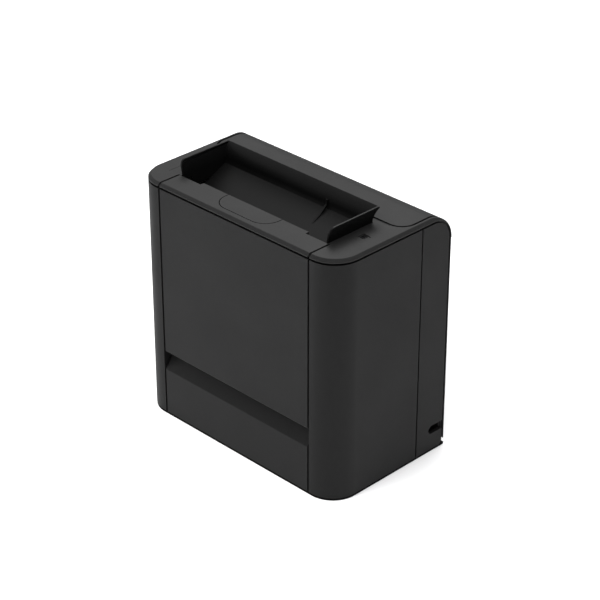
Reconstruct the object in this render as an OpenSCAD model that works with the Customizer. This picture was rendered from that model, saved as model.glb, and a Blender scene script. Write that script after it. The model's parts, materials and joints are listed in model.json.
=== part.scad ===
// Upright top-feed ticket scanner.
// Origin: middle of the underside, +Z up, front face towards -Y.
// All lengths in millimetres.

/* [Body] */
// Overall width of the casing
body_w = 146.7; // [144:0.1:150]
// Overall depth of the casing
body_d = 85.5; // [84:0.1:88]
// Height of the casing's flat top above the table
top_z = 141.9; // [141:0.1:143]
// Plan radius of the two front vertical corners
corner_r = 16; // [12:0.5:18]
// Width of the soft chamfer along the top edge
edge_r = 1.7; // [1.2:0.1:1.8]
// Wall thickness of the moulded casing
wall = 2.2; // [1.8:0.1:2.4]
// Gap of the door's side seams
seam = 1.2; // [1:0.1:1.3]

/* [Feed mouth] */
// Half width across the outside of the feed collar's rim
collar_hw = 55.4; // [55.2:0.1:55.6]
// Height of the collar's rim above the table
collar_z = 150.2; // [147:0.1:152]

/* [Door] */
// Half width of the front door
door_hw = 54.45; // [54.35:0.05:54.5]
// Height of the door's lower lip
lip_z = 40.1; // [39.5:0.1:40.5]

/* [Drive] */
// Gear module
gear_m = 0.8; // [0.8:0.1:0.8]
// Teeth on each drive roller's gear
roller_teeth = 45; // [45:1:45]
// Teeth on the idler
idler_teeth = 28; // [28:1:28]
// Teeth on the motor pinion
pinion_teeth = 14; // [14:1:14]
// Radius of the rubber drive rollers
drive_r = 7; // [6.9:0.05:7]
// Radius of the pinch rollers
pinch_r = 4.5; // [4.3:0.1:4.5]

/* [Hidden] */
$fn = 64;
hw = body_w / 2;
hd = body_d / 2;
groove_lo = 138.7;           // upper edge of the side and front panels
groove_hi = 139.88;          // lower edge of the rim
rear_cy = hd - 15.5;         // rear top corner, outer arc
rear_cz = top_z - 15.5;
rear_r = 15.5;
gr_cy = 29.3;                // rear top corner, groove arc
gr_cz = 127.2;
path_y = -24;                // middle of the paper path
up_y = -17;  up_z = 118;     // upper drive roller axis
lo_y = -17;  lo_z = 62;      // lower drive roller axis
id_y = -8.716; id_z = 90;    // idler axis
mo_y = 8.084; mo_z = 90;     // motor axis
pi_y = -28.65;               // pinch roller axes
hinge_y = -38.5; hinge_z = 44.5;
la_y = -33; la_z = 131;      // latch bar axis

// ---------- helpers ----------
module box(a, b) translate(a) cube([b[0] - a[0], b[1] - a[1], b[2] - a[2]]);
// both sides: the same box at +x and -x
module pair(a, b) { box(a, b); box([-b[0], a[1], a[2]], [-a[0], b[1], b[2]]); }
module xcyl(y, z, x0, x1, r) translate([x0, y, z]) rotate([0, 90, 0]) cylinder(h = x1 - x0, r = r);
module ycyl(x, z, y0, y1, r) translate([x, y1, z]) rotate([90, 0, 0]) cylinder(h = y1 - y0, r = r);
module zcyl(x, y, z0, z1, r) translate([x, y, z0]) cylinder(h = z1 - z0, r = r);
// a (y, z) outline carried along X
module xprism(pts, x0, x1) translate([x0, 0, 0]) rotate([90, 0, 90]) linear_extrude(x1 - x0) polygon(pts);
module flip(left) { if (left) mirror([1, 0, 0]) children(); else children(); }
function arc(cx, cy, r, a0, a1, n) = [for (i = [0:n]) let (a = a0 + (a1 - a0) * i / n) [cx + r * cos(a), cy + r * sin(a)]];
function bez(p, t) = p[0] * pow(1 - t, 3) + p[1] * 3 * t * pow(1 - t, 2) + p[2] * 3 * t * t * (1 - t) + p[3] * pow(t, 3);
function dbez(p, t) = (p[1] - p[0]) * 3 * pow(1 - t, 2) + (p[2] - p[1]) * 6 * t * (1 - t) + (p[3] - p[2]) * 3 * t * t;
function off(p, t, d) = let (q = dbez(p, t)) bez(p, t) + d * [q[1], -q[0]] / norm(q);

// plan outline of the casing, inset by i: square at the back, rounded at the front
module plan(i, r = corner_r) {
    translate([-hw + i, -hd + r]) square([2 * (hw - i), 2 * hd - r - i]);
    translate([-hw + r, -hd + i]) square([2 * (hw - r), r]);
    for (s = [-1, 1]) translate([s * (hw - r), -hd + r]) circle(r = r - i);
}
// the same, as a slab
module slab(i, z0, z1) translate([0, 0, z0]) linear_extrude(z1 - z0) plan(i);

// coil spring along +Z, from 0 to h
module coil(r, w, h, turns) {
    n = round(turns * 14);
    k = 6;
    pts = [for (i = [0:n]) let (a = 360 * turns * i / n, z = w + (h - 2 * w) * i / n)
        for (j = [0:k - 1]) let (b = 360 * j / k)
            [(r + w * cos(b)) * cos(a), (r + w * cos(b)) * sin(a), z + w * sin(b)]];
    sides = [for (i = [0:n - 1]) for (j = [0:k - 1]) let (j2 = (j + 1) % k)
        [i * k + j, (i + 1) * k + j, (i + 1) * k + j2, i * k + j2]];
    a = [for (j = [0:k - 1]) j];
    b = [for (j = [k - 1:-1:0]) n * k + j];
    polyhedron(points = pts, faces = concat(sides, [a], [b]));
}

// involute gear outline, tooth 0 centred on angle rot
function invd(rb, p) = p <= rb ? 0 : let (a = acos(rb / p)) tan(a) * 180 / PI - a;
function half_tooth(z, p) = let (r = gear_m * z / 2, rb = r * cos(20)) (90 - 3.2 / gear_m) / z + invd(rb, r) - invd(rb, p);
function gear_radii(z) = let (r = gear_m * z / 2, rb = r * cos(20), root = r - 1.2 * gear_m)
    [root, max(root + 0.02, rb + 0.01), r - 0.25 * gear_m, r, r + 0.45 * gear_m, r + 0.85 * gear_m];
function gear_pts(z, rot) = let (rr = gear_radii(z), n = len(rr))
    [for (i = [0:z - 1]) for (k = [0:2 * n - 1])
        let (p = k < n ? rr[k] : rr[2 * n - 1 - k], h = half_tooth(z, p), a = rot + 360 * i / z + (k < n ? -h : h))
            [p * cos(a), p * sin(a)]];
module gear(y, z, teeth, rot, x0, x1, bore)
    translate([x0, y, z]) rotate([90, 0, 90]) difference() {
        linear_extrude(x1 - x0) polygon(gear_pts(teeth, rot));
        translate([0, 0, -1]) cylinder(h = x1 - x0 + 2, r = bore);
        if (teeth > 20) {
            // moulded web: a shallow ring either side
            r0 = bore + 2.4; r1 = gear_m * teeth / 2 - 2.6;
            for (zz = [-1, x1 - x0 - 1.3]) translate([0, 0, zz]) difference() {
                cylinder(h = 2.3, r = r1);
                translate([0, 0, -1]) cylinder(h = 5, r = r0);
            }
        }
    }
up_a = atan2(28, -8.284);
lo_a = atan2(-28, -8.284);
gx0 = -65.5;
gx1 = -60.5;

// pan-head screw, head upwards, underside of the head at 0
module screw(r, l, hr, hh) {
    difference() {
        union() {
            cylinder(h = hh * 0.55, r = hr);
            translate([0, 0, hh * 0.55]) cylinder(h = hh * 0.45, r1 = hr, r2 = hr * 0.72);
            translate([0, 0, -l]) cylinder(h = l + 0.01, r = r);
        }
        for (a = [0, 90]) rotate([0, 0, a]) translate([-hr * 0.55, -0.35, hh * 0.45]) cube([hr * 1.1, 0.7, hh]);
    }
}

// ---------- casing ----------
screw_xy = [[-65, -30], [65, -30], [-66, 24.5], [66, 24.5]];

module base_plate() color([0.07, 0.07, 0.075]) difference() {
    union() {
        slab(0.12, 0.25, 1.6);
        slab(2.4, 1.59, 3.2);
    }
    for (p = screw_xy) translate([p[0], p[1], 0]) {
        cylinder(h = 10, r = 1.65);
        translate([0, 0, -1]) cylinder(h = 2.5, r = 3.1);
    }
    for (x = [-56, 56], y = [-33, 33]) zcyl(x * (y > 0 ? -1 : 1) * (y > 0 && x < 0 ? 0.78 : 1), y, -1, 1.4, 6.6);
    // lead well under the connector bay
    box([53, 29.2, -1], [69.5, 40, 5]);
    // chassis screws
    for (x = [-63.4, 63.4], y = [-14, 10]) zcyl(x, y, -1, 5, 1.3);
    // ventilation slots
    for (i = [-4:4]) box([i * 8 - 1.2, -6, -1], [i * 8 + 1.2, 20, 5]);
    // the panel foot's locating slots
    for (x = [-30, 30]) box([x - 4.2, -38.2, 1.9], [x + 4.2, -35.8, 5]);
}

module rubber_feet() color([0.05, 0.05, 0.05]) {
    for (x = [-56, 56], y = [-33, 33]) translate([x * (y > 0 ? -1 : 1) * (y > 0 && x < 0 ? 0.78 : 1), y, 0]) rotate_extrude()
        polygon([[0, 0], [5.6, 0], [6.2, 0.4], [6.5, 0.7], [6.5, 1.4], [0, 1.4]]);
}

module base_screws() color([0.6, 0.6, 0.62])
    for (p = screw_xy) translate([p[0], p[1], 1.5]) rotate([180, 0, 0]) screw(1.5, 9.5, 2.9, 0.9);

// right-hand side: front corner, side wall and the door jamb
module side_shell() {
    difference() {
        intersection() {
            slab(0, 1.65, groove_lo);
            box([door_hw + seam, -hd - 1, 0], [hw + 1, 19.9, 200]);
        }
        slab(wall, 0, 200);
        xcyl(hinge_y, hinge_z, 50, 60, 1.55);
    }
    difference() {
        union() {
            // jamb, lower behind the mouth where the collar's cheek stands
            box([door_hw + seam, -hd + wall - 0.3, 3.3], [door_hw + seam + 1.8, -30.2, groove_lo]);
            box([door_hw + seam, -30.3, 3.3], [door_hw + seam + 1.8, -24, 133.9]);
            // screw boss and its web
            difference() {
                union() {
                    zcyl(65, -30, 3.3, 14, 3.6);
                    box([64.2, -29, 3.3], [71.3, -26.9, 14]);
                }
                zcyl(65, -30, 0, 12, 1.55);
            }
            // stiffening ribs
            for (z = [48, 92]) box([68.2, -22, z], [71.3, 15, z + 1.6]);
        }
        xcyl(hinge_y, hinge_z, 50, 60, 1.55);
    }
}
module side_shell_right() color([0.17, 0.17, 0.175]) side_shell();
module side_shell_left() color([0.17, 0.17, 0.175]) flip(true) side_shell();

// side wall behind the vertical seam, closed over the rear top corner
module quarter(notch) {
    difference() {
        union() {
            box([hw - wall, 20.85, 1.65], [hw, 38.3, gr_cz]);
            box([hw - wall, 20.85, 1.65], [hw, gr_cy, groove_lo]);
            box([hw - wall, 20.85, 4.15], [hw, 40.8, gr_cz]);
            intersection() {
                xcyl(gr_cy, gr_cz, hw - wall, hw, 11.5);
                box([60, 20.85, 100], [80, 50, 160]);
            }
            xcyl(38.3, 4.15, hw - wall, hw, 2.5);
        }
        if (notch) {
            box([hw - 5, 32.55, 11.3], [hw + 1, 43, 16.3]);
            xcyl(32.55, 13.8, hw - 5, hw + 1, 2.5);
        }
    }
    // tongue behind the seam
    box([69.3, 16.8, 3.4], [70.95, 26, 137]);
    box([70.9, 21.0, 3.4], [hw - wall + 0.1, 26, 137]);
    difference() {
        union() {
            zcyl(66, 24.5, 3.3, 14, 3.6);
            box([66, 23.4, 3.3], [70, 25.6, 14]);
        }
        zcyl(66, 24.5, 0, 12, 1.55);
    }
}
module rear_quarter_right() color([0.17, 0.17, 0.175]) quarter(true);
module rear_quarter_left() color([0.17, 0.17, 0.175]) flip(true) quarter(false);

// soft chamfer from the upright edge at u to the flat top
function chamfer(u, z) = [[u, z - edge_r + 0.02], [u - 0.03, z - edge_r + 0.2], [u - 0.12, z - edge_r + 0.38], [u - edge_r + 0.4, z - 0.16],
    [u - edge_r + 0.2, z - 0.045], [u - edge_r, z]];
// rim profile; u is the outer edge, v the inner one
function rim(u, v) = concat([[v, groove_hi], [u, groove_hi]], chamfer(u, top_z), [[v, top_z]]);

module frame_arm() {
    difference() {
        union() {
            // round front corner
            translate([hw - corner_r, -hd + corner_r, 0]) rotate([0, 0, -90]) rotate_extrude(angle = 90) polygon(rim(corner_r, 0));
            // short straight front
            translate([door_hw + seam, 0, 0]) rotate([90, 0, 90]) linear_extrude(hw - corner_r - door_hw - seam)
                polygon([for (p = rim(hd, hd - corner_r)) [-p[0], p[1]]]);
            // side
            translate([0, rear_cy, 0]) rotate([90, 0, 0]) linear_extrude(rear_cy + hd - corner_r) polygon(rim(hw, collar_hw - 1.55));
            // tongue behind the end of the door's top bar
            box([collar_hw - 1.55, -27.85, groove_hi], [56, -26.7, top_z]);
            // over the rear top corner
            difference() {
                intersection() {
                    xcyl(rear_cy, rear_cz, 70.85, hw, rear_r);
                    // the chamfer narrows on its way down the back
                    union() {
                        translate([0, rear_cy + 1.41, 0]) rotate([90, 0, 0]) linear_extrude(1.41)
                            polygon(concat([[70, rear_cz], [hw, rear_cz]], chamfer(hw, top_z), [[70, top_z]]));
                        translate([0, rear_cy + 1.4, rear_cz]) rotate([90, 0, 0]) rotate([0, 90, 0]) rotate_extrude(angle = 90)
                            polygon(concat([[0, 70], [rear_r, 70]], [for (i = [5:-1:0]) [chamfer(hw, rear_r)[i][1], chamfer(hw, rear_r)[i][0]]], [[0, hw]]));
                    }
                }
                xcyl(gr_cy, gr_cz, 60, 80, 12.68);
                box([60, 20, 100], [80, gr_cy, groove_hi]);
            }
        }
        // opening for the rear cover
        translate([0, 0, 130]) linear_extrude(20) {
            translate([-61.4, 7.85]) square([122.8, 60]);
            translate([-70.85, 17.3]) square([141.7, 60]);
            for (s = [-1, 1]) translate([s * 61.4, 17.3]) circle(r = 9.45);
        }
        // opening for the collar
        box([0, -27.85, 130], [collar_hw - 1.55, 4.5, 160]);
        // shallow step round the collar
        box([50, -28.9, top_z - 0.12], [62.6, 7.6, top_z + 1]);
    }
    // lip inside the side shell, closing the groove
    difference() {
        translate([hw - corner_r, -hd + corner_r, 135]) rotate([0, 0, -88]) rotate_extrude(angle = 88) translate([12.1, 0]) square([1.55, 4.95]);
        box([50, -29.95, 130], [56.75, 0, 160]);
    }
    box([69.4, -26.76, 135], [70.95, 14, 139.95]);
    box([69.4, 13.9, 135], [70.95, 16.5, 139.5]);
    box([69.4, 7, 137.6], [70.95, 27.2, 139.5]);
    box([71.36, 16, 138.95], [71.8, rear_cy, 139.95]);
    // over the rear corner
    difference() {
        xcyl(gr_cy, gr_cz, 71.36, 71.8, 12.85);
        xcyl(gr_cy, gr_cz, 70, 74, 11.75);
        box([70, 0, 100], [74, 60, gr_cz]);
        box([70, 0, 100], [74, 27.1, 160]);
    }
}

module top_frame() color([0.25, 0.25, 0.255]) difference() {
    union() {
        frame_arm();
        flip(true) frame_arm();
        // bar behind the collar
        box([-57, 4.5, groove_hi], [57, 7.65, top_z - 0.12]);
        box([-57, 7.6, groove_hi], [57, 7.85, top_z]);
        // bridge under the rear cover
        box([-70, 6.9, 137.6], [70, 9.5, 138.5]);
        box([-70, 9.4, 137.6], [70, 16, 139.5]);
    }
    // light window and its surround
    box([59.0, -12.2, top_z - 0.7], [63.4, -7.7, top_z + 1]);
    box([59.7, -11.5, 130], [62.7, -8.4, top_z + 1]);
    box([63.9, -9.4, top_z - 0.5], [64.7, -8.5, top_z + 1]);
}

module rear_cover() color([0.24, 0.24, 0.245]) difference() {
    union() {
        // top skin
        translate([0, 0, 139.7]) linear_extrude(top_z - 139.7) {
            translate([-61.4, 9.15]) square([122.8, rear_cy - 9.15]);
            translate([-69.55, 17.3]) square([139.1, rear_cy - 17.3]);
            for (s = [-1, 1]) translate([s * 61.4, 17.3]) circle(r = 8.15);
        }
        // corner
        translate([-69.55, rear_cy, rear_cz]) rotate([90, 0, 0]) rotate([0, 90, 0]) rotate_extrude(angle = 90)
            translate([13.3, 0]) square([2.2, 139.1]);
        box([-69.55, 40.55, 120], [69.55, hd, rear_cz + 0.01]);
        // back, with thin side flanges that close the groove
        translate([0, 0, 4.3]) linear_extrude(rear_cz - 4.45)
            polygon(concat([[-70.9, 40.55], [70.9, 40.55], [70.9, 41.35], [71.5, 41.35], [71.5, 42.05], [hw, 42.05]],
                [for (a = [0:15:90]) [hw - 0.65 + 0.65 * cos(a), hd - 0.65 + 0.65 * sin(a)]],
                [for (a = [90:15:180]) [-hw + 0.65 + 0.65 * cos(a), hd - 0.65 + 0.65 * sin(a)]],
                [[-hw, 42.05], [-71.5, 42.05], [-71.5, 41.35], [-70.9, 41.35]]));
        // turned-in foot at the bottom
        xprism(concat([[40.55, 4.35], [40.55, 1.82]], arc(40.25, 4.3, 2.5, -80, 0, 6), [[hd, 4.35]]), -70.9, 70.9);
        // screw bosses
        for (x = [-44, 44]) ycyl(x, 122, 29.6, 41, 3.4);
    }
    for (x = [-44, 44]) {
        ycyl(x, 122, 28, 44, 1.6);
        ycyl(x, 122, 41.3, 44, 3.1);
    }
    // blank recess for a rating plate
    box([-24, hd - 0.35, 24], [24, hd + 1, 54]);
    // vents
    for (i = [-6:6]) box([i * 6 - 1, 39, 88], [i * 6 + 1, 44, 106]);
}
module rear_cover_screws() color([0.5, 0.5, 0.52])
    for (x = [-44, 44]) translate([x, 41.3, 122]) rotate([-90, 0, 0]) screw(1.5, 13.6, 2.9, 1.1);

// ---------- feed collar ----------
// how far the cheek has flared out at each height
flare = [[130, 0], [142.2, 0], [144.4, 0.35], [146.6, 0.8], [148.5, 1.3], [collar_z + 0.01, 1.8]];
// slab along y whose outer face follows the flare, t thick
module flared(t, y0, y1) translate([collar_hw - 1.8, y1, 0]) rotate([90, 0, 0]) linear_extrude(y1 - y0)
    polygon(concat([for (f = flare) [f[1], f[0]]], [for (i = [5:-1:0]) [flare[i][1] - t, flare[i][0]]]));
ramp_in = concat([[-22.6, 124.2], [-22.6, 126.2]], [for (t = [0.1:0.1:0.9]) bez([[-22.6, 126.2], [-20.5, 129.6], [-6, 134.5], [2.2, 139.4]], t)],
    [[2.2, 139.4], [2.8, 140.8], [2.9, 142]], arc(12.9, 142, 10, 180, 125, 9));
ramp_out = concat(arc(13.0, 142, 8.75, 125, 180, 9), [[4.25, 140.6], [3.4, 138.6]],
    [for (t = [0.9:-0.1:0.1]) bez([[-21.0, 125.8], [-19.3, 128.4], [-5.4, 133.1], [3.0, 138.0]], t)], [[-21.0, 125.4], [-21.0, 124.2]]);
module feed_collar() color([0.06, 0.06, 0.063]) {
    // feed ramp and flared back wall
    xprism(concat(ramp_in, ramp_out), -52.9, 52.9);
    for (s = [-1, 1]) flip(s < 0) {
        // flared cheek with a rounded front top corner and swept rear end
        intersection() {
            xprism(concat([[-27.6, 139.4]], arc(-24.1, collar_z - 3.5, 3.5, 180, 90, 8), [[7.16, collar_z]],
                arc(13.0, 142, 8.75, 125, 180, 9), [[4.25, 134.2], [-20, 134.2], [-21.5, 139.4]]), 45, 60);
            flared(0.95, -30, 12);
        }
        // back wall's ends
        intersection() {
            xprism(concat([[2.9, 134.3], [2.9, 142]], arc(12.9, 142, 10, 180, 125, 9), arc(13.0, 142, 8.75, 125, 180, 9), [[4.25, 134.3]]), 52.5, 60);
            flared(3, 0, 12);
        }
        // snap lugs under the top frame
        for (y = [-17, -3]) xprism([[y - 3, 138.2], [y + 3, 138.2], [y + 3, 139.7], [y - 3, 139.7]], 53.2, 54.7);
    }
    // rib on the back wall
    translate([23, 0, 0]) xprism([[-9, 133.0], [-2, 136.9], [2.6, 140.5], [2.95, 142], [3.3, 144.2], [2.5, 144.2], [2.2, 142], [1.7, 141.2], [-2.4, 137.7], [-8, 134.4]], -0.5, 0.5);
}

// ---------- lower front panel with the exit ramp ----------
// the ramp's back: a steep plane that curves up behind the paper path
exit_c = [[-36, 38.9], [-30.9, 46.3], [-23.4, 48.5], [-23.4, 54.5]];
module lower_front_panel() color([0.19, 0.19, 0.195]) {
    xprism(concat([[-hd, 1.65], [-hd, 28.75], [-hd + 0.09, 29.15], [-hd + 0.3, 29.55]], [for (i = [0:16]) bez(exit_c, i / 16)],
        [for (i = [16:-1:0]) off(exit_c, i / 16, 2.0)], [[-hd + 2.2, 28.95], [-hd + 2.2, 1.65]]), -door_hw, door_hw);
    // ribs and feet that stand on the base
    for (x = [-30, 30]) {
        xprism([[-40.7, 3.4], [-30, 3.4], [-30, 36], [-34.2, 38.55], [-40.7, 29.1]], x - 0.9, x + 0.9);
        box([x - 4, -38, 2.0], [x + 4, -36, 3.6]);
    }
}

module status_light_lens() color([0.55, 0.57, 0.6]) {
    box([59.8, -11.4, 136], [62.6, -8.5, top_z - 0.35]);
    box([59.0, -12.2, 135.2], [63.4, -7.7, 136.3]);
}
module status_light_board() color([0.05, 0.25, 0.12]) {
    difference() {
        box([58.2, -18, 132.4], [68.8, -2, 133.6]);
        zcyl(66.2, -5, 130, 140, 0.9);
    }
    box([60.2, -11, 133.59], [62.2, -9, 134.6]);
}

// ---------- chassis ----------
module chassis_plate(left) {
    difference() {
        union() {
            box([57.7, -23.2, 3.2], [59.2, 28.2, 128]);
            // turned-out feet
            for (y = [-14, 10]) box([59, y - 5, 3.2], [67.4, y + 5, 4.7]);
        }
        xcyl(up_y, up_z, 50, 70, 4.5);
        xcyl(lo_y, lo_z, 50, 70, 4.5);
        for (y = [-14, 10]) zcyl(63.4, y, 0, 10, 1.55);
        if (left) {
            xcyl(mo_y, mo_z, 50, 70, 11.1);
            for (a = [-13, 13], b = [-13, 13]) xcyl(mo_y + a, mo_z + b, 50, 70, 1.55);
            xcyl(id_y, id_z, 50, 70, 2.5);
        }
    }
}
module chassis_plate_right() color([0.62, 0.63, 0.64]) chassis_plate(false);
module chassis_plate_left() color([0.62, 0.63, 0.64]) flip(true) chassis_plate(true);

board_xz = [[-47, 17], [45, 17], [-47, 105], [45, 105]];
module chassis_cross_plate() color([0.6, 0.61, 0.62]) difference() {
    union() {
        box([-57.6, 28.3, 12], [57.6, 29.5, 126]);
        pair([56.1, 20, 30], [57.6, 28.4, 60]);
    }
    for (p = board_xz) ycyl(p[0], p[1], 20, 40, 1.55);
    // slot for the flat flex
    box([10.5, 20, 71.5], [23.5, 40, 83]);
    // threaded holes for the back cover's screws
    for (x = [-44, 44]) ycyl(x, 122, 20, 40, 1.55);
}
// the frame's identical pan-head screws
module machine_screws() color([0.7, 0.7, 0.72]) {
    for (x = [-63.4, 63.4], y = [-14, 10]) translate([x, y, 4.7]) screw(1.25, 4, 2.6, 1.2);
    for (a = [-13, 13], b = [-13, 13]) translate([-59.2, mo_y + a, mo_z + b]) rotate([0, -90, 0]) screw(1.25, 4, 2.6, 1.2);
    for (p = board_xz) translate([p[0], 33.3, p[1]]) rotate([-90, 0, 0]) screw(1.25, 4, 2.6, 1.2);
}

roller_x = [-36, 0, 36];
module rear_paper_guide() color([0.13, 0.13, 0.135]) difference() {
    union() {
        box([-52.9, -23.4, 54.9], [52.9, -21.8, 123.9]);
        pair([52.8, -23.4, 54.9], [57.6, -21.8, 112]);
        // stiffening ribs on the back
        for (x = [-50, -20, 20, 50]) for (z = [70.2, 90, 108.2]) box([x - 6, -21.9, z], [x + 6, -20.6, z + 1]);
        pair([56.2, -21.9, 72], [57.6, -12, 106]);
    }
    for (x = roller_x) {
        box([x - 7.8, -25, 112.2], [x + 7.8, -21, 124.5]);
        box([x - 7.8, -25, 56.4], [x + 7.8, -21, 67.9]);
    }
    box([-51.4, -25, 74.9], [51.4, -21, 85.1]);
    for (z = [96, 104]) ycyl(9.5, z, -25, -20, 1.3);
}
module rear_image_sensor() color([0.1, 0.1, 0.11]) difference() {
    box([-51.9, -21.7, 72.2], [51.9, -10.4, 87.8]);
    box([-50.6, -25, 75.2], [50.6, -19.2, 84.8]);
    box([-46, -12, 76], [46, -9, 84]);
}
module rear_sensor_glass() color([0.45, 0.55, 0.6, 0.5]) box([-50.6, -23.35, 75.2], [50.6, -21.7, 84.8]);
module paper_sensor_board() color([0.05, 0.25, 0.12]) {
    box([3.4, -19.2, 90.9], [15.6, -18, 108.1]);
    for (z = [96, 104]) box([7.4, -21.7, z - 1.6], [11.6, -19.19, z + 1.6]);
    box([4.2, -18.01, 97.5], [7.8, -15, 102.5]);
}
module shaft_bushes() color([0.72, 0.6, 0.4])
    for (s = [-1, 1], a = [[up_y, up_z], [lo_y, lo_z]]) flip(s < 0) translate([57.7, a[0], a[1]]) rotate([0, 90, 0]) difference() {
        union() {
            cylinder(h = 2.1, r = 4.5);
            translate([0, 0, 1.5]) cylinder(h = 0.7, r = 5.5);
        }
        translate([0, 0, -1]) cylinder(h = 5, r = 3.05);
    }

// steel shaft with a flat and a clip groove at each end
module drive_shaft(y, z) color([0.78, 0.78, 0.8]) difference() {
    xcyl(y, z, -66.8, 61.4, 3);
    for (x = [-66.2, 60.3]) translate([x, y, z]) rotate([0, 90, 0]) difference() {
        cylinder(h = 0.6, r = 4);
        translate([0, 0, -1]) cylinder(h = 3, r = 2.4);
    }
}
module drive_rollers(y, z) color([0.12, 0.12, 0.125]) for (x = roller_x) translate([x - 7, y, z]) rotate([0, 90, 0]) rotate_extrude()
    polygon([[3, 0], [drive_r - 0.5, 0], [drive_r, 0.5], [drive_r, 13.5], [drive_r - 0.5, 14], [3, 14]]);
module upper_drive_shaft() drive_shaft(up_y, up_z);
module lower_drive_shaft() drive_shaft(lo_y, lo_z);
module upper_drive_rollers() drive_rollers(up_y, up_z);
module lower_drive_rollers() drive_rollers(lo_y, lo_z);
module upper_roller_gear() color([0.9, 0.9, 0.86])
    gear(up_y, up_z, roller_teeth, up_a + 180 + 180 / roller_teeth + up_a * idler_teeth / roller_teeth, gx0, gx1, 3);
module lower_roller_gear() color([0.9, 0.9, 0.86])
    gear(lo_y, lo_z, roller_teeth, lo_a + 180 + 180 / roller_teeth + lo_a * idler_teeth / roller_teeth, gx0, gx1, 3);
module idler_gear() color([0.9, 0.9, 0.86]) gear(id_y, id_z, idler_teeth, 0, gx0, gx1, 2.55);
module idler_pin() color([0.78, 0.78, 0.8]) {
    xcyl(id_y, id_z, -66.4, -57.7, 2.5);
    xcyl(id_y, id_z, -60.2, -59.2, 4);
    xcyl(id_y, id_z, -67.0, -65.9, 3.6);
}
module drive_motor() color([0.3, 0.3, 0.32]) difference() {
    union() {
        // end caps and lamination stack, corners cut
        translate([-57.6, mo_y, mo_z]) rotate([0, 90, 0]) linear_extrude(26)
            polygon([[-13.5, -17.5], [13.5, -17.5], [17.5, -13.5], [17.5, 13.5], [13.5, 17.5], [-13.5, 17.5], [-17.5, 13.5], [-17.5, -13.5]]);
        xcyl(mo_y, mo_z, -59.0, -57.5, 11);
        box([-44, mo_y - 5, mo_z - 20.5], [-34, mo_y + 5, mo_z - 17.4]);
    }
    xcyl(mo_y, mo_z, -60, -33, 2.55);
    for (a = [-13, 13], b = [-13, 13]) xcyl(mo_y + a, mo_z + b, -60, -53, 1.3);
    // the lamination stack stands back from the end caps
    for (x = [-50.5]) translate([x, mo_y, mo_z]) rotate([0, 90, 0]) difference() {
        translate([-20, -20, 0]) cube([40, 40, 12]);
        translate([0, 0, -1]) linear_extrude(14) polygon([[-12.9, -16.9], [12.9, -16.9], [16.9, -12.9], [16.9, 12.9], [12.9, 16.9], [-12.9, 16.9], [-16.9, 12.9], [-16.9, -12.9]]);
    }
}
module motor_shaft() color([0.78, 0.78, 0.8]) xcyl(mo_y, mo_z, -66.6, -33.2, 2.5);
module motor_pinion() color([0.8, 0.7, 0.45]) gear(mo_y, mo_z, pinion_teeth, 180 + 180 / pinion_teeth, gx0, gx1, 2.5);

module main_circuit_board() color([0.04, 0.26, 0.13]) {
    difference() {
        box([-52, 31.7, 12], [50, 33.3, 110]);
        for (p = board_xz) ycyl(p[0], p[1], 30, 35, 1.55);
    }
    // processor, memory, regulators, capacitors and header strips
    box([-12, 33.29, 62], [6, 34.9, 80]);
    box([12, 33.29, 66], [20, 34.5, 78]);
    box([-34, 33.29, 70], [-24, 35.3, 80]);
    box([-30, 33.29, 34], [-20, 37.6, 44]);
    for (x = [24, 32]) ycyl(x, 52, 33.29, 38.4, 3.1);
    box([-44, 33.29, 90], [-20, 37.4, 95]);
    box([6, 33.29, 92], [30, 37.4, 97]);
    box([-46, 33.29, 50], [-42, 37.4, 62]);
}
module board_standoffs() color([0.75, 0.66, 0.4]) for (p = board_xz) difference() {
    translate([p[0], 31.7, p[1]]) rotate([90, 0, 0]) cylinder(h = 2.2, r = 2.9, $fn = 6);
    ycyl(p[0], p[1], 28, 33, 1.3);
}
// sockets on the board's right edge, mouths towards +X
module usb_connector() color([0.75, 0.76, 0.78]) difference() {
    box([43.5, 33.3, 22], [51.4, 37.2, 31]);
    box([45, 33.8, 22.6], [52, 36.7, 30.4]);
    box([44.4, 34.9, 23.5], [44.6, 35.6, 29.5]);
}
module power_connector() color([0.08, 0.08, 0.08]) difference() {
    box([38.5, 33.3, 35], [51.4, 40.1, 44]);
    translate([41, 36.8, 39.5]) rotate([0, 90, 0]) cylinder(h = 12, r = 2.7);
}
// flat flex from the chassis sensor to the board, through the cross plate's slot
module sensor_ribbon() color([0.85, 0.85, 0.82])
    xprism([[-10.3, 80], [-10.3, 80.3], [-4, 80.3], [26.4, 69.8], [27.0, 69.6], [31.0, 86.2], [31.6, 86.2], [27.4, 69.1], [26.2, 69.3], [-4.2, 80]], 12, 22);
// spring-steel catch leaves with a rolled nose, one on each chassis plate
module catch_springs() color([0.7, 0.71, 0.73]) for (s = [-1, 1]) flip(s < 0) {
    box([56.7, -22.4, 122.6], [57.6, -18.4, 128.6]);
    box([56.9, -21.5, 128.5], [57.4, -19.5, 132.7]);
    xcyl(-20.5, 132.7, 53.3, 57.4, 1.2);
}

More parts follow.
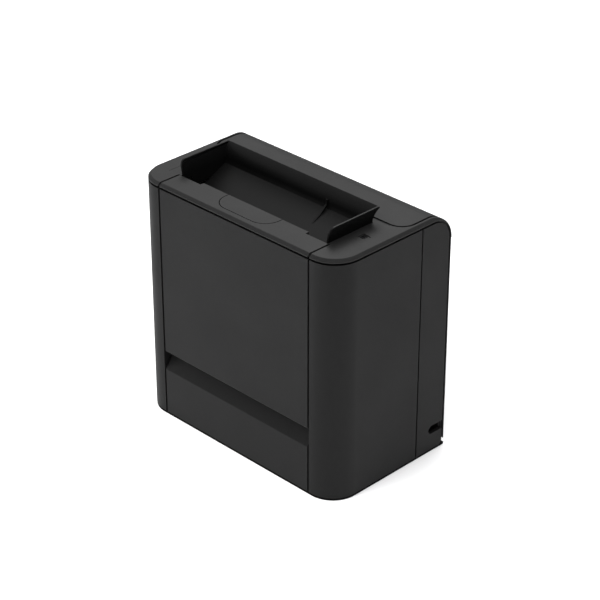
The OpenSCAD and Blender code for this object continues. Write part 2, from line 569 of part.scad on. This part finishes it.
// ---------- door ----------
module door_front_panel() color([0.19, 0.19, 0.195]) {
    difference() {
        xprism(concat([[-hd + wall, groove_lo], [-hd + wall, lip_z]], arc(-hd + 1, lip_z + 1, 1, -90, -180, 5), [[-hd, groove_lo]]), -door_hw, door_hw);
        for (x = [-40, 40], z = [84, 128]) ycyl(x, z, -41.6, -35, 1.3);
    }
    // screw bosses
    for (x = [-40, 40], z = [84, 128]) difference() {
        ycyl(x, z, -40.7, -38.6, 3);
        ycyl(x, z, -41.6, -35, 1.3);
    }
}
module d_outline(i) {
    // the release tab: straight rear edge, round front corners
    translate([-20 + i, -28.25]) square([40 - 2 * i, 12]);
    translate([-10, -38.25 + i]) square([20, 12]);
    for (s = [-1, 1]) translate([s * 10, -28.25]) circle(r = 10 - i);
}
module door_top_bar() color([0.25, 0.25, 0.255]) {
    difference() {
        union() {
            translate([-door_hw, 0, 0]) rotate([90, 0, 90]) linear_extrude(2 * door_hw) polygon([for (p = rim(hd, 28.3)) [-p[0], p[1]]]);
            box([-38.6, -28.4, groove_hi], [38.6, -25.95, top_z]);
            // groove bottom
            box([-door_hw, -41.0, 138.95], [door_hw, -40.1, 139.95]);
        }
        translate([0, 0, 130]) linear_extrude(20) d_outline(0);
    }
    // posts down to the inner frame
    for (x = [-40, 40]) difference() {
        zcyl(x, -35, 136.75, 139.95, 3.2);
        zcyl(x, -35, 130, 139.5, 1.3);
    }
}
guide_c = [[-24.6, 57], [-24.6, 50.5], [-31.5, 47.5], [-36.8, 41.3]];
module door_inner_frame() color([0.12, 0.12, 0.125]) difference() {
    union() {
        // paper guide plate, with a turned lead-in at the top
        xprism([[-26.4, 56.9], [-24.6, 56.9], [-24.6, 132], [-25.4, 134], [-26.4, 134]], -52.9, 52.9);
        // lower guide curving out to the lip
        xprism(concat([for (i = [0:14]) bez(guide_c, i / 14)], [[-40.45, 41.0], [-40.45, 42.3], [-38.0, 42.0]],
            [for (i = [13:-1:0]) off(guide_c, i / 14, 1.5)]), -52.9, 52.9);
        // side flanges
        for (s = [-1, 1]) flip(s < 0) xprism(concat([[-40.45, 138.8], [-40.45, 41.0]], [for (i = [14:-1:0]) bez(guide_c, i / 14)],
            [[-24.6, 132], [-25.4, 134], [-28.4, 134], [-28.4, 138.8]]), 51.6, 52.9);
        // top plate and mouth walls
        box([-52.9, -40.45, 135.2], [52.9, -28.4, 136.7]);
        box([-38.4, -28.5, 135.2], [38.4, -26.1, 136.7]);
        box([-38.4, -27.6, 133.9], [38.4, -26.1, 136.7]);
        box([-38.4, -27.6, 136.6], [-20.6, -26.1, 139.55]);
        box([20.6, -27.6, 136.6], [38.4, -26.1, 139.55]);
        pair([38.3, -29.9, 136.6], [52.9, -28.4, 138.8]);
        // webs to the front panel
        for (z = [73, 78.5, 108.4]) box([-52, -40.4, z - 0.8], [52, -39, z + 0.8]);
        for (x = [-40, 40], z = [84, 128]) ycyl(x, z, -38.55, -26, 3.2);
    }
    for (x = roller_x) {
        box([x - 7.8, -28, 112.7], [x + 7.8, -24, 123.3]);
        box([x - 7.8, -28, 57.2], [x + 7.8, -24, 67.3]);
    }
    // sensor window
    box([-51.3, -28, 93], [51.3, -24, 103]);
    // screw holes
    for (x = [-40, 40], z = [84, 128]) {
        ycyl(x, z, -45, -20, 1.55);
        ycyl(x, z, -28.4, -20, 2.7);
        // the boss on the panel
        ycyl(x, z, -41, -38.55, 3.2);
    }
    for (x = [-40, 40]) zcyl(x, -35, 134, 138, 1.55);
    xcyl(hinge_y, hinge_z, -60, 60, 1.55);
    xcyl(la_y, la_z, -60, 60, 1.55);
    zcyl(0, -29, 130, 140, 2.15);
}
module door_screws() color([0.5, 0.5, 0.52]) {
    for (x = [-40, 40], z = [84, 128]) translate([x, -28.4, z]) rotate([-90, 0, 0]) screw(1.25, 12.6, 2.5, 1.5);
    for (x = [-40, 40]) translate([x, -35, 135.2]) rotate([180, 0, 0]) screw(1.25, 3.9, 2.5, 1.5);
}
module hinge_pins() color([0.78, 0.78, 0.8]) for (s = [-1, 1]) flip(s < 0) {
    xcyl(hinge_y, hinge_z, 50.6, 57.1, 1.5);
    xcyl(hinge_y, hinge_z, 49.8, 51.5, 1.75);
}
module front_image_sensor() color([0.1, 0.1, 0.11]) difference() {
    box([-51.2, -38.4, 90.2], [51.2, -26.5, 105.8]);
    box([-50.4, -29.0, 93.2], [50.4, -24, 102.8]);
    box([-46, -40, 94], [46, -36.8, 102]);
}
module front_sensor_glass() color([0.45, 0.55, 0.6, 0.5]) box([-50.4, -26.5, 93.2], [50.4, -24.65, 102.8]);

module release_button() color([0.25, 0.25, 0.255]) {
    intersection() {
        translate([0, 0, 140.0]) linear_extrude(top_z - 140.0) d_outline(0.5);
        box([-30, -50, 100], [30, -25.95, 200]);
    }
    zcyl(0, -29, 134.2, 140.1, 2);
    box([-2, -28.4, 133.4], [2, -27.75, 134.3]);
    // retaining barb
    box([-2.9, -30, 134.25], [2.9, -28.6, 134.95]);
    // skirt
    for (s = [-1, 1]) box([s * 16 - 0.7, -34, 138.85], [s * 16 + 0.7, -28.5, 140.1]);
}
module button_spring() color([0.75, 0.76, 0.78]) translate([0, -29, 136.72]) coil(3.4, 0.25, 3.26, 3);

// steel bar across the door: push pad in the middle and a hook at each end
module latch_bar() color([0.72, 0.73, 0.75]) {
    xcyl(la_y, la_z, -54.4, 54.4, 1.5);
    xprism([[-34.6, 130.2], [-31.5, 129.6], [-27, 131.6], [-26.9, 133.2], [-28.6, 133.2], [-31.6, 132.2], [-34.4, 132]], -3.5, 3.5);
    for (s = [-1, 1]) flip(s < 0) xprism([[-34.9, 129.4], [-31, 129.2], [-18.4, 129.8], [-17.6, 130.8], [-17.9, 133.2],
        [-18.9, 133.0], [-19.1, 131.25], [-31, 131.3], [-31.6, 132.9], [-34.4, 132.8]], 53.2, 54.4);
}
// torsion spring round the latch bar, beside the pad
module latch_spring() color([0.75, 0.76, 0.78]) {
    translate([6, la_y, la_z]) rotate([0, 90, 0]) coil(2.2, 0.3, 6, 5);
}

// pinch rollers: sprung carriage, shaft and three rollers
module carriage(z) color([0.2, 0.2, 0.21]) difference() {
    union() {
        box([-46.5, -34.6, z - 5.5], [46.5, -33.4, z + 5.5]);
        for (x = [-46.5, -19, 17.6, 45.1]) box([x, -34, z - 3.6], [x + 1.4, -27.0, z + 3.6]);
        for (x = [-30, 30]) ycyl(x, z, -36.2, -34.5, 1.6);
    }
    xcyl(pi_y, z, -60, 60, 1.55);
}
module pinch_rollers(z) color([0.55, 0.55, 0.56]) for (x = roller_x) translate([x - 7, pi_y, z]) rotate([0, 90, 0]) rotate_extrude()
    polygon([[1.5, 0], [pinch_r - 0.4, 0], [pinch_r, 0.4], [pinch_r, 13.6], [pinch_r - 0.4, 14], [1.5, 14]]);
module pinch_springs(z) color([0.75, 0.76, 0.78])
    for (x = [-30, 30]) translate([x, -34.65, z]) rotate([90, 0, 0]) coil(2.6, 0.3, 5.8, 4);
module upper_pinch_carriage() carriage(up_z);
module lower_pinch_carriage() carriage(lo_z);
module upper_pinch_shaft() color([0.78, 0.78, 0.8]) xcyl(pi_y, up_z, -47.2, 47.2, 1.5);
module lower_pinch_shaft() color([0.78, 0.78, 0.8]) xcyl(pi_y, lo_z, -47.2, 47.2, 1.5);
module upper_pinch_rollers() pinch_rollers(up_z);
module lower_pinch_rollers() pinch_rollers(lo_z);
module upper_pinch_springs() pinch_springs(up_z);
module lower_pinch_springs() pinch_springs(lo_z);

base_plate();
rubber_feet();
base_screws();
side_shell_right();
side_shell_left();
rear_quarter_right();
rear_quarter_left();
top_frame();
rear_cover();
rear_cover_screws();
feed_collar();
lower_front_panel();
status_light_lens();
status_light_board();
chassis_plate_right();
chassis_plate_left();
chassis_cross_plate();
machine_screws();
rear_paper_guide();
rear_image_sensor();
rear_sensor_glass();
paper_sensor_board();
shaft_bushes();
upper_drive_shaft();
upper_drive_rollers();
upper_roller_gear();
lower_drive_shaft();
lower_drive_rollers();
lower_roller_gear();
idler_pin();
idler_gear();
drive_motor();
motor_shaft();
motor_pinion();
main_circuit_board();
board_standoffs();
usb_connector();
power_connector();
sensor_ribbon();
catch_springs();
door_front_panel();
door_top_bar();
door_inner_frame();
door_screws();
hinge_pins();
front_image_sensor();
front_sensor_glass();
release_button();
button_spring();
latch_bar();
latch_spring();
upper_pinch_carriage();
upper_pinch_shaft();
upper_pinch_rollers();
upper_pinch_springs();
lower_pinch_carriage();
lower_pinch_shaft();
lower_pinch_rollers();
lower_pinch_springs();
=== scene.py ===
import json
import math
import random

import bmesh
import bpy
from mathutils import Matrix, Vector

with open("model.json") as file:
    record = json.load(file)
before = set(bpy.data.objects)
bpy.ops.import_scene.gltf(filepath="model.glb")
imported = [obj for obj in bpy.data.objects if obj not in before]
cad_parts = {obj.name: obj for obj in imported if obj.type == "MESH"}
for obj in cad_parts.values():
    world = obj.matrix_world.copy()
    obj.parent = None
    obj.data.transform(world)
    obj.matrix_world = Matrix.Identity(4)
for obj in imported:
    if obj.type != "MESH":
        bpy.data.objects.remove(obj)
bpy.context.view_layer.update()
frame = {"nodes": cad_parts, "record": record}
N = frame["nodes"]
scene = bpy.context.scene
MM = 0.001


def lin(v):
    """sRGB 0-255 to linear."""
    v = v / 255.0
    return v / 12.92 if v <= 0.04045 else ((v + 0.055) / 1.055) ** 2.4


def rgb(r, g=None, b=None):
    if g is None:
        g = b = r
    return (lin(r), lin(g), lin(b), 1.0)


# ------------------------------------------------------------------ node helpers
class Tree:
    def __init__(self, name):
        self.mat = bpy.data.materials.new(name)
        self.mat.use_nodes = True
        self.t = self.mat.node_tree
        self.t.nodes.clear()
        self.out = self.t.nodes.new("ShaderNodeOutputMaterial")
        self.co = self.t.nodes.new("ShaderNodeTexCoord").outputs["Object"]

    def n(self, kind, **props):
        node = self.t.nodes.new(kind)
        for k, v in props.items():
            setattr(node, k, v)
        return node

    def link(self, a, b):
        self.t.links.new(a, b)

    def put(self, socket, value):
        if hasattr(value, "is_output"):
            self.link(value, socket)
        else:
            socket.default_value = value

    def noise(self, scale, detail=2.0, rough=0.5, distort=0.0, co=None, stretch=None):
        co = co or self.co
        if stretch:
            m = self.n("ShaderNodeMapping")
            self.link(co, m.inputs["Vector"])
            m.inputs["Scale"].default_value = stretch
            co = m.outputs["Vector"]
        x = self.n("ShaderNodeTexNoise")
        self.link(co, x.inputs["Vector"])
        x.inputs["Scale"].default_value = scale
        x.inputs["Detail"].default_value = detail
        x.inputs["Roughness"].default_value = rough
        x.inputs["Distortion"].default_value = distort
        return x.outputs["Fac"]

    def voronoi(self, scale, feature="F1", smooth=None, randomness=1.0):
        x = self.n("ShaderNodeTexVoronoi", feature=feature)
        self.link(self.co, x.inputs["Vector"])
        x.inputs["Scale"].default_value = scale
        x.inputs["Randomness"].default_value = randomness
        if smooth is not None and "Smoothness" in x.inputs:
            x.inputs["Smoothness"].default_value = smooth
        return x.outputs["Distance"]

    def remap(self, v, a, b, c, d, clamp=True):
        x = self.n("ShaderNodeMapRange", clamp=clamp)
        self.put(x.inputs["Value"], v)
        for k, q in (("From Min", a), ("From Max", b), ("To Min", c), ("To Max", d)):
            x.inputs[k].default_value = q
        return x.outputs["Result"]

    def math(self, op, a, b=0.0, c=None):
        x = self.n("ShaderNodeMath", operation=op)
        self.put(x.inputs[0], a)
        self.put(x.inputs[1], b)
        if c is not None:
            self.put(x.inputs[2], c)
        return x.outputs[0]

    def mix(self, f, a, b):
        x = self.n("ShaderNodeMix", data_type="RGBA")
        self.put(x.inputs[0], f)
        self.put(x.inputs[6], a)
        self.put(x.inputs[7], b)
        return x.outputs[2]

    def scale_colour(self, col, f):
        """colour times a factor, both may be sockets"""
        x = self.n("ShaderNodeVectorMath", operation="SCALE")
        self.put(x.inputs[0], col if hasattr(col, "is_output") else tuple(col)[:3])
        self.put(x.inputs["Scale"], f)
        return x.outputs[0]

    def axis(self, k):
        s = self.n("ShaderNodeSeparateXYZ")
        self.link(self.co, s.inputs[0])
        return s.outputs[k]

    def edges(self, radius=0.0005, power=(0.04, 0.55)):
        """1 on sharp edges, 0 on flats: how far a rounded normal leans from the true one"""
        b = self.n("ShaderNodeBevel", samples=4)
        b.inputs["Radius"].default_value = radius
        g = self.n("ShaderNodeNewGeometry")
        d = self.n("ShaderNodeVectorMath", operation="DOT_PRODUCT")
        self.link(b.outputs[0], d.inputs[0])
        self.link(g.outputs["Normal"], d.inputs[1])
        inv = self.math("SUBTRACT", 1.0, d.outputs["Value"])
        return self.remap(inv, power[0] * 0.3, power[1] * 0.3, 0.0, 1.0)

    def bump(self, height, distance, strength=1.0, normal=None):
        x = self.n("ShaderNodeBump")
        self.link(height, x.inputs["Height"])
        x.inputs["Distance"].default_value = distance
        x.inputs["Strength"].default_value = strength
        if normal is not None:
            self.link(normal, x.inputs["Normal"])
        return x.outputs["Normal"]

    def principled(self, colour, rough, normal=None, metal=0.0, spec=0.5, **more):
        p = self.n("ShaderNodeBsdfPrincipled")
        self.put(p.inputs["Base Color"], colour)
        self.put(p.inputs["Roughness"], rough)
        self.put(p.inputs["Metallic"], metal)
        self.put(p.inputs["Specular IOR Level"], spec)
        if normal is not None:
            self.link(normal, p.inputs["Normal"])
        for k, v in more.items():
            self.put(p.inputs[k.replace("_", " ")], v)
        self.link(p.outputs[0], self.out.inputs["Surface"])
        return p


def moulded(name, grey, rough=0.55, spec=0.22, grain=0.35, depth=0.012, var=0.10, edge_wear_and_highlight=0.45, tint=(1, 1, 1), edge=0.0005, dust=0.0):
    """moulded plastic: spark-eroded grain, slight colour drift, polished and paler edges, the paler edges partly
    rubbed wear and partly a painted highlight
    """
    t = Tree(name)
    base = [lin(grey) * c for c in tint] + [1]
    broad = t.noise(28, 3, 0.55)
    mid = t.noise(420, 3, 0.6)
    f = t.math("ADD", t.remap(broad, 0.3, 0.7, 1 - var, 1 + var), t.remap(mid, 0.3, 0.7, -var * 0.35, var * 0.35))
    col = t.scale_colour(base, f)
    if dust:
        up = t.n("ShaderNodeNewGeometry")
        s = t.n("ShaderNodeSeparateXYZ")
        t.link(up.outputs["Normal"], s.inputs[0])
        d = t.math("MULTIPLY", t.remap(s.outputs[2], 0.6, 1.0, 0, 1), t.remap(t.noise(60, 4, 0.65), 0.42, 0.75, 0, dust))
        col = t.mix(d, col, (0.25, 0.24, 0.23, 1))
    # paler edges: partly rubbed wear, partly a painted highlight along every sharp edge
    if edge_wear_and_highlight:
        e = t.edges(edge)
        e = t.math("MULTIPLY", e, t.remap(t.noise(160, 3, 0.6), 0.32, 0.62, 0.35, 1.0))
        e = t.math("MULTIPLY", e, edge_wear_and_highlight)
        edge_wear_and_highlight_colour = [min(1, c * 1.5 + 0.022) for c in base[:3]] + [1]
        col = t.mix(e, col, tuple(edge_wear_and_highlight_colour))
    g1 = t.voronoi(1000 / grain, "SMOOTH_F1", 0.6)
    g2 = t.noise(1000 / (grain * 0.6), 2, 0.5)
    h = t.math("ADD", t.math("MULTIPLY", g1, 0.7), t.math("MULTIPLY", g2, 0.6))
    nrm = t.bump(h, depth * MM, 1.0)
    wave = t.noise(22, 1, 0.4)
    nrm = t.bump(wave, 0.06 * MM, 0.5, nrm)
    r = t.math("ADD", t.remap(broad, 0.3, 0.7, rough - 0.04, rough + 0.05), t.remap(g2, 0.3, 0.7, -0.04, 0.04))
    if edge_wear_and_highlight:
        r = t.math("SUBTRACT", r, t.math("MULTIPLY", e, 0.12))
    t.principled(col, r, nrm, 0.0, spec)
    return t.mat


def metal(name, grey, rough=0.3, tint=(1, 1, 1), brush=(1, 1, 1), scale=900, depth=0.004, var=0.12, edge_wear_and_highlight=0.3, spots=0.0):
    """sheet or bar metal: drawn lines, soft stains, brighter edges that are partly rubbed metal and partly a painted
    highlight
    """
    t = Tree(name)
    base = [lin(grey) * c for c in tint] + [1]
    broad = t.noise(45, 4, 0.6)
    lines = t.noise(scale, 3, 0.6, stretch=brush)
    col = t.scale_colour(base, t.math("ADD", t.remap(broad, 0.3, 0.7, 1 - var, 1 + var), t.remap(lines, 0.25, 0.75, -0.06, 0.06)))
    if spots:
        col = t.mix(t.remap(t.noise(130, 5, 0.7), 0.58, 0.72, 0, spots), col, (0.18, 0.16, 0.14, 1))
    # brighter edges: partly rubbed metal, partly a painted highlight
    e = t.math("MULTIPLY", t.edges(0.0003), edge_wear_and_highlight)
    col = t.mix(e, col, (0.85, 0.85, 0.86, 1))
    nrm = t.bump(lines, depth * MM, 1.0)
    r = t.math("ADD", t.remap(lines, 0.25, 0.75, rough - 0.05, rough + 0.07), t.remap(broad, 0.3, 0.7, -0.03, 0.06))
    t.principled(col, r, nrm, 1.0, 0.5)
    return t.mat


def rubber(name, grey, rough=0.8, grain=0.5, tint=(1, 1, 1), lines=None):
    t = Tree(name)
    base = [lin(grey) * c for c in tint] + [1]
    b = t.noise(90, 4, 0.6)
    f = t.noise(1000 / grain, 3, 0.6, stretch=lines)
    col = t.scale_colour(base, t.math("ADD", t.remap(b, 0.3, 0.7, 0.88, 1.12), t.remap(f, 0.3, 0.7, -0.07, 0.07)))
    dusty = t.remap(t.noise(240, 4, 0.7), 0.52, 0.75, 0, 0.16)
    col = t.mix(dusty, col, (0.2, 0.19, 0.18, 1))
    # paler edges: partly rubbed rubber, partly a painted highlight
    e = t.math("MULTIPLY", t.edges(0.0004), 0.25)
    col = t.mix(e, col, (0.12, 0.12, 0.12, 1))
    t.principled(col, t.remap(f, 0.3, 0.7, rough - 0.06, rough + 0.08), t.bump(f, 0.03 * MM, 1.0), 0.0, 0.3)
    return t.mat


def glass(name, tint=(0.82, 0.9, 0.92)):
    t = Tree(name)
    b = t.noise(120, 3, 0.6)
    smear = t.noise(300, 4, 0.6, stretch=(0.15, 1, 1))
    col = t.scale_colour(tint, t.remap(b, 0.3, 0.7, 0.94, 1.0))
    e = t.math("MULTIPLY", t.edges(0.0003), 0.4)
    col = t.mix(e, col, (0.45, 0.75, 0.66, 1))
    p = t.principled(col, t.remap(smear, 0.3, 0.75, 0.03, 0.14), t.bump(smear, 0.001 * MM, 0.5), 0.0, 0.5, IOR=1.5)
    p.inputs["Transmission Weight"].default_value = 0.85
    return t.mat


def board(name):
    """printed circuit board: solder mask over traces, pads and plated vias"""
    t = Tree(name)
    s = t.n("ShaderNodeSeparateXYZ")
    t.link(t.co, s.inputs[0])
    m = t.n("ShaderNodeMapping")
    t.link(t.co, m.inputs["Vector"])
    brick = t.n("ShaderNodeTexBrick", offset=0.37, squash=1.4, squash_frequency=3)
    c = t.n("ShaderNodeCombineXYZ")
    t.link(s.outputs[0], c.inputs[0])
    t.link(s.outputs[2], c.inputs[1])
    t.link(c.outputs[0], brick.inputs["Vector"])
    brick.inputs["Scale"].default_value = 420
    brick.inputs["Mortar Size"].default_value = 0.03
    brick.inputs["Mortar Smooth"].default_value = 0.2
    blot = t.remap(t.noise(55, 2, 0.5), 0.46, 0.5, 0, 1)
    trace = t.math("MULTIPLY", brick.outputs["Fac"], blot)
    green = t.mix(t.remap(t.noise(70, 3, 0.6), 0.3, 0.7, 0, 1), (0.008, 0.085, 0.035, 1), (0.012, 0.13, 0.055, 1))
    col = t.mix(t.math("MULTIPLY", trace, 0.75), green, (0.035, 0.22, 0.09, 1))
    vias = t.remap(t.voronoi(260, "F1", randomness=1.0), 0.10, 0.13, 1, 0)
    col = t.mix(t.math("MULTIPLY", vias, 0.85), col, (0.55, 0.5, 0.38, 1))
    e = t.math("MULTIPLY", t.edges(0.0003), 0.5)
    col = t.mix(e, col, (0.35, 0.33, 0.2, 1))
    h = t.math("ADD", trace, t.math("MULTIPLY", t.noise(2600, 2, 0.5), 0.3))
    t.principled(col, t.remap(t.noise(500, 3, 0.6), 0.3, 0.7, 0.28, 0.42), t.bump(h, 0.02 * MM, 0.8), 0.0, 0.5)
    return t.mat


def lens(name):
    """unlit smoked window"""
    t = Tree(name)
    b = t.noise(200, 3, 0.6)
    col = t.scale_colour((0.004, 0.004, 0.0045), t.remap(b, 0.3, 0.7, 0.8, 1.2))
    # paler edges are a painted edge highlight on the dark window
    e = t.math("MULTIPLY", t.edges(0.0003), 0.25)
    col = t.mix(e, col, (0.05, 0.05, 0.055, 1))
    t.principled(col, t.remap(t.noise(900, 2, 0.5), 0.3, 0.7, 0.2, 0.34), t.bump(t.noise(2200, 2, 0.5), 0.004 * MM, 0.6), 0.0, 0.08)
    return t.mat


# ------------------------------------------------------------------ materials by slot
M = {
    # casing_side, casing_front and casing_top are one grey plastic: the top is painted lighter and the side a little
    # darker than the front, as painted light and shade for how the light falls on each face
    "casing_side": moulded("casing_side", 27, 0.58, 0.12, 0.38, 0.014),
    "casing_front": moulded("casing_front", 29.3, 0.58, 0.12, 0.38, 0.014),
    "casing_top": moulded("casing_top", 43, 0.56, 0.12, 0.34, 0.012),
    "collar_black": moulded("collar_black", 18, 0.5, 0.12, 0.30, 0.006, edge_wear_and_highlight=0.3),
    "base_black": moulded("base_black", 7, 0.65, 0.04, 0.5, 0.016, edge_wear_and_highlight=0.3),
    "inner_plastic": moulded("inner_plastic", 24, 0.5, 0.12, 0.6, 0.008, edge_wear_and_highlight=0.3),
    "gear_plastic": moulded("gear_plastic", 214, 0.42, 0.5, 0.5, 0.004, var=0.05, edge_wear_and_highlight=0.0, tint=(1, 0.99, 0.93)),
    "pinch_plastic": moulded("pinch_plastic", 150, 0.45, 0.45, 0.5, 0.004, var=0.06, edge_wear_and_highlight=0.2, tint=(1, 1, 1.02)),
    "sensor_body": moulded("sensor_body", 30, 0.45, 0.35, 0.4, 0.005, edge_wear_and_highlight=0.35),
    "connector_black": moulded("connector_black", 24, 0.4, 0.45, 0.4, 0.004, edge_wear_and_highlight=0.3),
    "foot_rubber": rubber("foot_rubber", 34, 0.85, 0.6),
    "roller_rubber": rubber("roller_rubber", 52, 0.8, 0.35, lines=(0.12, 1, 1)),
    "steel_plate": metal("steel_plate", 178, 0.38, (1, 1.0, 1.01), (1, 1, 0.05), 900, 0.004, spots=0.0),
    "steel_shaft": metal("steel_shaft", 196, 0.22, (1, 1, 1.01), (30, 1, 1), 60, 0.002, var=0.06),
    "spring_steel": metal("spring_steel", 186, 0.28, (1, 0.99, 0.97), (1, 1, 1), 1500, 0.002, var=0.08),
    "screw_steel": metal("screw_steel", 165, 0.32, (1, 1, 1.02), (1, 1, 1), 1600, 0.003, var=0.1),
    "brass": metal("brass", 190, 0.3, (1.0, 0.8, 0.46), (1, 1, 1), 1200, 0.003, var=0.1),
    "motor_dark": metal("motor_dark", 92, 0.5, (1, 1, 1.03), (12, 1, 1), 260, 0.01, var=0.12),
    "connector_metal": metal("connector_metal", 190, 0.3, (1, 1, 1.01), (0.1, 1, 1), 1500, 0.002),
    "board_green": board("board_green"),
    "sensor_glass": glass("sensor_glass"),
    "light_lens": lens("light_lens"),
    "ribbon": moulded("ribbon", 205, 0.5, 0.4, 0.8, 0.004, var=0.05, edge_wear_and_highlight=0.0, tint=(1, 0.98, 0.92)),
}


# ------------------------------------------------------------------ shading of carried-over CAD nodes
def smooth_group(angle):
    g = bpy.data.node_groups.new(f"smooth_by_angle_{int(angle)}", "GeometryNodeTree")
    g.interface.new_socket("Geometry", in_out="INPUT", socket_type="NodeSocketGeometry")
    g.interface.new_socket("Geometry", in_out="OUTPUT", socket_type="NodeSocketGeometry")
    i = g.nodes.new("NodeGroupInput")
    o = g.nodes.new("NodeGroupOutput")
    a = g.nodes.new("GeometryNodeInputMeshEdgeAngle")
    c = g.nodes.new("FunctionNodeCompare")
    c.data_type = "FLOAT"
    c.operation = "GREATER_THAN"
    c.inputs[1].default_value = math.radians(angle)
    s = g.nodes.new("GeometryNodeStoreNamedAttribute")
    s.data_type = "BOOLEAN"
    s.domain = "EDGE"
    s.inputs["Name"].default_value = "sharp_edge"
    m = g.nodes.new("GeometryNodeSetShadeSmooth")
    g.links.new(a.outputs["Unsigned Angle"], c.inputs[0])
    g.links.new(i.outputs[0], m.inputs["Geometry"])
    g.links.new(m.outputs["Geometry"], s.inputs["Geometry"])
    g.links.new(c.outputs["Result"], s.inputs["Value"])
    g.links.new(s.outputs["Geometry"], o.inputs[0])
    return g


SMOOTH = smooth_group(32)
CRISP = smooth_group(12.4)


def dress(o, bevel=0.0, planar=True, segments=2, limit=38, smooth=None):
    w = o.modifiers.new("weld", "WELD")
    w.merge_threshold = 1e-6
    if planar:
        d = o.modifiers.new("planar", "DECIMATE")
        d.decimate_type = "DISSOLVE"
        d.angle_limit = math.radians(0.6)
    if bevel:
        b = o.modifiers.new("bevel", "BEVEL")
        b.width = bevel * MM
        b.segments = segments
        b.limit_method = "ANGLE"
        b.angle_limit = math.radians(limit)
        b.use_clamp_overlap = True
        b.miter_outer = "MITER_ARC"
    s = o.modifiers.new("smooth", "NODES")
    s.node_group = smooth or SMOOTH
    n = o.modifiers.new("weighted", "WEIGHTED_NORMAL")
    n.keep_sharp = True
    n.weight = 60


BEVEL = {
    "side_shell_right": 0.22, "side_shell_left": 0.22, "rear_quarter_right": 0.22, "rear_quarter_left": 0.22,
    "feed_collar": 0.22, "lower_front_panel": 0.2, "door_front_panel": 0.2,
    "door_top_bar": 0.18, "release_button": 0.2, "base_plate": 0.2, "door_inner_frame": 0.15, "rear_paper_guide": 0.15,
    "chassis_plate_right": 0.15, "chassis_plate_left": 0.15, "chassis_cross_plate": 0.15, "drive_motor": 0.2,
    "rear_image_sensor": 0.2, "front_image_sensor": 0.2, "main_circuit_board": 0.12, "usb_connector": 0.12,
    "power_connector": 0.15, "latch_bar": 0.12, "upper_pinch_carriage": 0.15, "lower_pinch_carriage": 0.15,
    "status_light_lens": 0.12,
}

slots = {s["node"]: s["material_slot"] for s in frame["record"]["subparts"]}
for name, o in N.items():
    o.data.materials.clear()
    o.data.materials.append(M[slots[name]])
    dress(o, BEVEL.get(name, 0.0), planar=name not in ("rear_cover", "top_frame"),
          smooth=CRISP if name in ("top_frame", "door_top_bar") else None)

# ------------------------------------------------------------------ stage
bpy.ops.mesh.primitive_plane_add(size=8, location=(0, 0, 0))
floor = bpy.context.object
floor.name = "floor"
t = Tree("floor")
b = t.noise(6, 2, 0.5)
t.principled(t.scale_colour((0.86, 0.86, 0.865), t.remap(b, 0.3, 0.7, 0.995, 1.0)), 0.9, None, 0.0, 0.1)
floor.data.materials.append(t.mat)

# soft light: a bright ceiling, a key from behind and a soft box at the left; the pale floor has lamps of its own and lights the sides
world = bpy.data.worlds.new("world")
scene.world = world
world.use_nodes = True
wt = world.node_tree
bg = wt.nodes["Background"]
tc = wt.nodes.new("ShaderNodeTexCoord")
sp = wt.nodes.new("ShaderNodeSeparateXYZ")
wt.links.new(tc.outputs["Generated"], sp.inputs[0])
rp = wt.nodes.new("ShaderNodeMapRange")
rp.interpolation_type = "SMOOTHSTEP"
wt.links.new(sp.outputs[2], rp.inputs["Value"])
for k, v in (("From Min", 0.35), ("From Max", 0.9), ("To Min", 0.03), ("To Max", 1.34)):
    rp.inputs[k].default_value = v
wt.links.new(rp.outputs["Result"], bg.inputs["Strength"])
bg.inputs["Color"].default_value = (1, 1, 1, 1)


def area(name, loc, size, power, target=(0, 0, 0.07), spread=math.pi):
    l = bpy.data.lights.new(name, "AREA")
    l.shape = "RECTANGLE"
    l.size, l.size_y = size
    l.energy = power
    l.spread = spread
    o = bpy.data.objects.new(name, l)
    scene.collection.objects.link(o)
    o.location = loc
    o.rotation_euler = (Vector(target) - Vector(loc)).to_track_quat("-Z", "Y").to_euler()
    return o


only_floor = bpy.data.collections.new("lamp_on_floor")
only_floor.objects.link(floor)
not_floor = bpy.data.collections.new("lamp_on_object")
for o in N.values():
    not_floor.objects.link(o)

LAMPS = {
    # name: place, size, power, floor lamp or object lamp
    "floor_front": ((-0.5, -1.3, 1.3), (1.2, 1.2), 43.0, only_floor),
    "floor_right": ((0.9, -0.5, 1.5), (1.2, 1.2), 19.0, only_floor),
    "floor_back": ((-0.7, 1.3, 1.4), (1.2, 1.2), 14.0, only_floor),
    "key": ((-0.75, 0.85, 1.25), (0.9, 0.9), 15.3, not_floor),
    "left": ((-1.5, -0.75, 0.45), (0.6, 0.9), 5.5, not_floor),
}
for name, (loc, size, power, who) in LAMPS.items():
    o = area(name, loc, size, power)
    o.light_linking.receiver_collection = who

# ------------------------------------------------------------------ camera
az, el = math.radians(45.0965), math.radians(29.51)
right = Vector((math.cos(az), math.sin(az), 0))
back = Vector((math.sin(az) * math.cos(el), -math.cos(az) * math.cos(el), math.sin(el)))
up = back.cross(right)
cam = bpy.data.cameras.new("camera")
cam.lens = 123.63
cam.sensor_width = 36
cam.clip_start = 0.05
cam.clip_end = 30
co = bpy.data.objects.new("camera", cam)
scene.collection.objects.link(co)
co.matrix_world = Matrix((
    (right.x, up.x, back.x, 0.678849),
    (right.y, up.y, back.y, -0.670238),
    (right.z, up.z, back.z, 0.617036),
    (0, 0, 0, 1)))
scene.camera = co
scene.view_settings.view_transform = "Standard"
scene.view_settings.look = "None"
